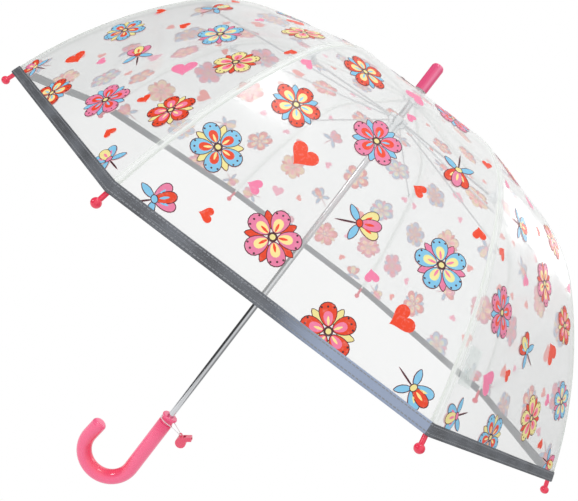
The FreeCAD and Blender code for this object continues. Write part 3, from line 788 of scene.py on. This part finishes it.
def ink_finish(name, tone, white, through):
    """Flat screen ink, thinner here and there, with its shares of white and of light from behind."""
    ink = Finish("ink_" + name)
    thin = ink.noise(ink.place(), 420.0, 3.0)
    main = whitened(tone, white)
    layer = ink.surface(
        ink.blend(thin.eased(0.5, 0.8), main, whitened(tone, white + 0.16)),
        Roughness=0.32 + 0.2 * thin,
        Normal=ink.bump(thin, 0.00003, 0.5),
        Coat_Weight=0.2,
    )
    return ink.shown(ink.lit_through(layer, through, main))


# From behind, the white under the inks shows, and the outlines are nearly hidden.
INKS_BEHIND = INKS | {"dark": colour(214, 96, 116)}
inks_mixed = [ink_finish(name, tone, 0.0, 0.12) for name, tone in INKS.items()]
inks_mixed += [ink_finish(f"{name}_from_behind", tone, 0.3, 0.5) for name, tone in INKS_BEHIND.items()]
for k in rib_numbers:
    printed = bmesh.new()
    half_panel_print(printed, k - 1, 1)
    half_panel_print(printed, k, -1)
    bmesh.ops.triangulate(printed, faces=printed.faces)
    face_out(printed)
    motifs = finished(f"film_print_{k}", printed, *inks_mixed)
    lets_light_in(motifs)
    folds_with(motifs, k)


# ------------------------------------------------------------ whistle and its cord
# A small pea whistle moulded in pink plastic, with a loose ball inside that rattles in the air. It is
# tied to the collar's neck with a thin nylon cord, which goes once round it.

give(moulded("whistle_plastic", colour(244, 88, 120), colour(232, 74, 106)), "whistle")

WHISTLE_CHAMBER = Vector((0.0307, 0.0, 0.0311))
CHAMBER_RADIUS = 0.0056
PEA_RADIUS = 0.0030
PEA_GAP = 0.0002

cork = moulded("cork_ball", colour(214, 178, 132), colour(186, 146, 100), 0.6)
pea = bmesh.new()
bmesh.ops.create_icosphere(pea, subdivisions=3, radius=PEA_RADIUS)
drop = Vector((0, 0, CHAMBER_RADIUS - PEA_RADIUS - PEA_GAP))
bmesh.ops.translate(pea, verts=pea.verts, vec=WHISTLE_CHAMBER - drop)
ball = finished("whistle_pea", pea, cork)
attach(ball, "whistle")

CORD_ROUTE = (
    (0.0250, -0.0016, 0.0382),
    (0.0196, -0.0040, 0.0400),
    (0.0124, -0.0072, 0.0420),
    (0.0049, -0.0095, 0.0430),
    (-0.0026, -0.0098, 0.0433),
    (-0.0084, -0.0056, 0.0432),
    (-0.0102, 0.0010, 0.0430),
    (-0.0076, 0.0070, 0.0428),
    (-0.0014, 0.0101, 0.0430),
    (0.0056, 0.0095, 0.0429),
    (0.0122, 0.0069, 0.0418),
    (0.0195, 0.0039, 0.0399),
    (0.0250, 0.0016, 0.0382),
)
CORD_DIAMETER = 0.001
STRAND_PITCH = 0.0006


def nylon_cord():
    """Laid yarn: fine turns that lean along the cord."""
    yarn = Finish("nylon_cord")
    x, y, z = yarn.parts(yarn.place())
    strands = abs(((x + y + z * 2) / STRAND_PITCH) % 1.0 - 0.5)
    return yarn.skin(
        yarn.blend(strands, colour(250, 246, 247), colour(236, 226, 230)),
        Roughness=0.5,
        Alpha=0.8,
        Normal=yarn.bump(strands, 0.0002, 0.7),
    )


line = bpy.data.curves.new("neck_cord", "CURVE")
line.dimensions = "3D"
line.bevel_depth, line.bevel_resolution = CORD_DIAMETER / 2, 3
run = line.splines.new("NURBS")
run.points.add(len(CORD_ROUTE) - 1)
for point, at in zip(run.points, CORD_ROUTE):
    point.co = (*at, 1.0)
run.order_u = 3
run.use_endpoint_u = True
line.materials.append(nylon_cord())
neck_cord = bpy.data.objects.new("neck_cord", line)
bpy.context.scene.collection.objects.link(neck_cord)
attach(neck_cord, "stick")
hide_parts("whistle_cord")


# ------------------------------------------------------------ studio and camera
# A white floor and sheet, soft lamps above and beside, and the camera that looks at the umbrella.

CAMERA_PLACE = Vector((-0.02226, -0.75608, 0.38061))
CAMERA_RIGHT = Vector((0.79629, 0.10456, 0.59581))
CAMERA_AHEAD = Vector((0.00635, 0.98345, -0.18108))
CAMERA_LENS = 39.24
CAMERA_SHIFT = (0.0692, 0.0692)
FLOOR_HEIGHT = -0.6
FLOOR_REACH = 1.6
WHITE = (1, 1, 1, 1)


def studio_floor():
    """White to the camera and through the film, and matt to everything else."""
    floor = Finish("studio_floor")
    seen = floor.node("ShaderNodeLightPath", output="Is Camera Ray")
    through = floor.node("ShaderNodeLightPath", output="Is Transmission Ray")
    matt = floor.node("ShaderNodeBsdfDiffuse", {}, {"Color": (0.9, 0.9, 0.9, 1)})
    glow = floor.node("ShaderNodeEmission", {}, {"Color": WHITE, "Strength": 1.0})
    return floor.shown(floor.node("ShaderNodeMixShader", {}, {0: seen + through, 1: matt, 2: glow}))


ground = bmesh.new()
bmesh.ops.create_grid(ground, x_segments=2, y_segments=2, size=FLOOR_REACH)
bmesh.ops.translate(ground, vec=(0, 0, FLOOR_HEIGHT), verts=ground.verts)
finished("studio_floor", ground, studio_floor())


def studio_air():
    """White all round, with a grey screen at each side that only polished metal and gloss show."""
    air = Finish("studio_air", "worlds")
    seen = air.node("ShaderNodeLightPath", output="Is Camera Ray")
    mirrored = air.node("ShaderNodeLightPath", output="Is Glossy Ray")
    across, _, up = air.parts(air.node("ShaderNodeTexCoord", output="Generated"))
    left = (0 - across).eased(0.22, 0.7)
    right = across.eased(0.45, 0.9)
    screens = 1 - left * 0.93 - right * 0.6
    overhead = up.eased(-0.9, 0.6, 0.55, 1.0)
    soft = air.node("ShaderNodeBackground", {}, {"Color": WHITE, "Strength": 0.84})
    tone = air.node("ShaderNodeCombineColor", {}, {i: screens * overhead for i in range(3)})
    reflection = air.node("ShaderNodeBackground", {}, {"Color": tone, "Strength": 1.0})
    backdrop = air.node("ShaderNodeBackground", {}, {"Color": WHITE, "Strength": 1.0})
    lit = air.node("ShaderNodeMixShader", {}, {0: mirrored, 1: soft, 2: reflection})
    return air.shown(air.node("ShaderNodeMixShader", {}, {0: seen, 1: lit, 2: backdrop}), "World")


bpy.context.scene.world = studio_air()


def lamp(name, place, sides, power):
    """A soft rectangle of light that is aimed at the canopy."""
    light = bpy.data.lights.new(name, "AREA")
    light.shape, (light.size, light.size_y) = "RECTANGLE", sides
    light.energy = power
    shown = bpy.data.objects.new(name, light)
    bpy.context.scene.collection.objects.link(shown)
    turn = (CANOPY_MIDDLE - Vector(place)).to_track_quat("-Z", "Y")
    shown.matrix_world = Matrix.Translation(place) @ turn.to_matrix().to_4x4()
    shown.visible_camera = False


CANOPY_MIDDLE = Vector((0, 0, 0.3))
lamp("lamp_above", (-0.5, -0.6, 2.0), (0.6, 0.4), 6)
lamp("lamp_left", (-1.7, -1.0, 0.5), (0.5, 0.3), 4)
lamp("lamp_back", (1.2, 1.4, 1.4), (0.6, 0.4), 2)

lens = bpy.data.cameras.new("camera")
lens.lens, lens.sensor_width = CAMERA_LENS, 36.0
lens.shift_x, lens.shift_y = CAMERA_SHIFT
lens.clip_start, lens.clip_end = 0.01, 50.0
camera = bpy.data.objects.new("camera", lens)
bpy.context.scene.collection.objects.link(camera)
back = -CAMERA_AHEAD.normalized()
right = (CAMERA_RIGHT - back * CAMERA_RIGHT.dot(back)).normalized()
camera.matrix_world = Matrix.Translation(CAMERA_PLACE) @ Matrix(
    (right, back.cross(right), back)
).transposed().to_4x4()
bpy.context.scene.camera = camera
bpy.context.scene.view_settings.view_transform = "Standard"
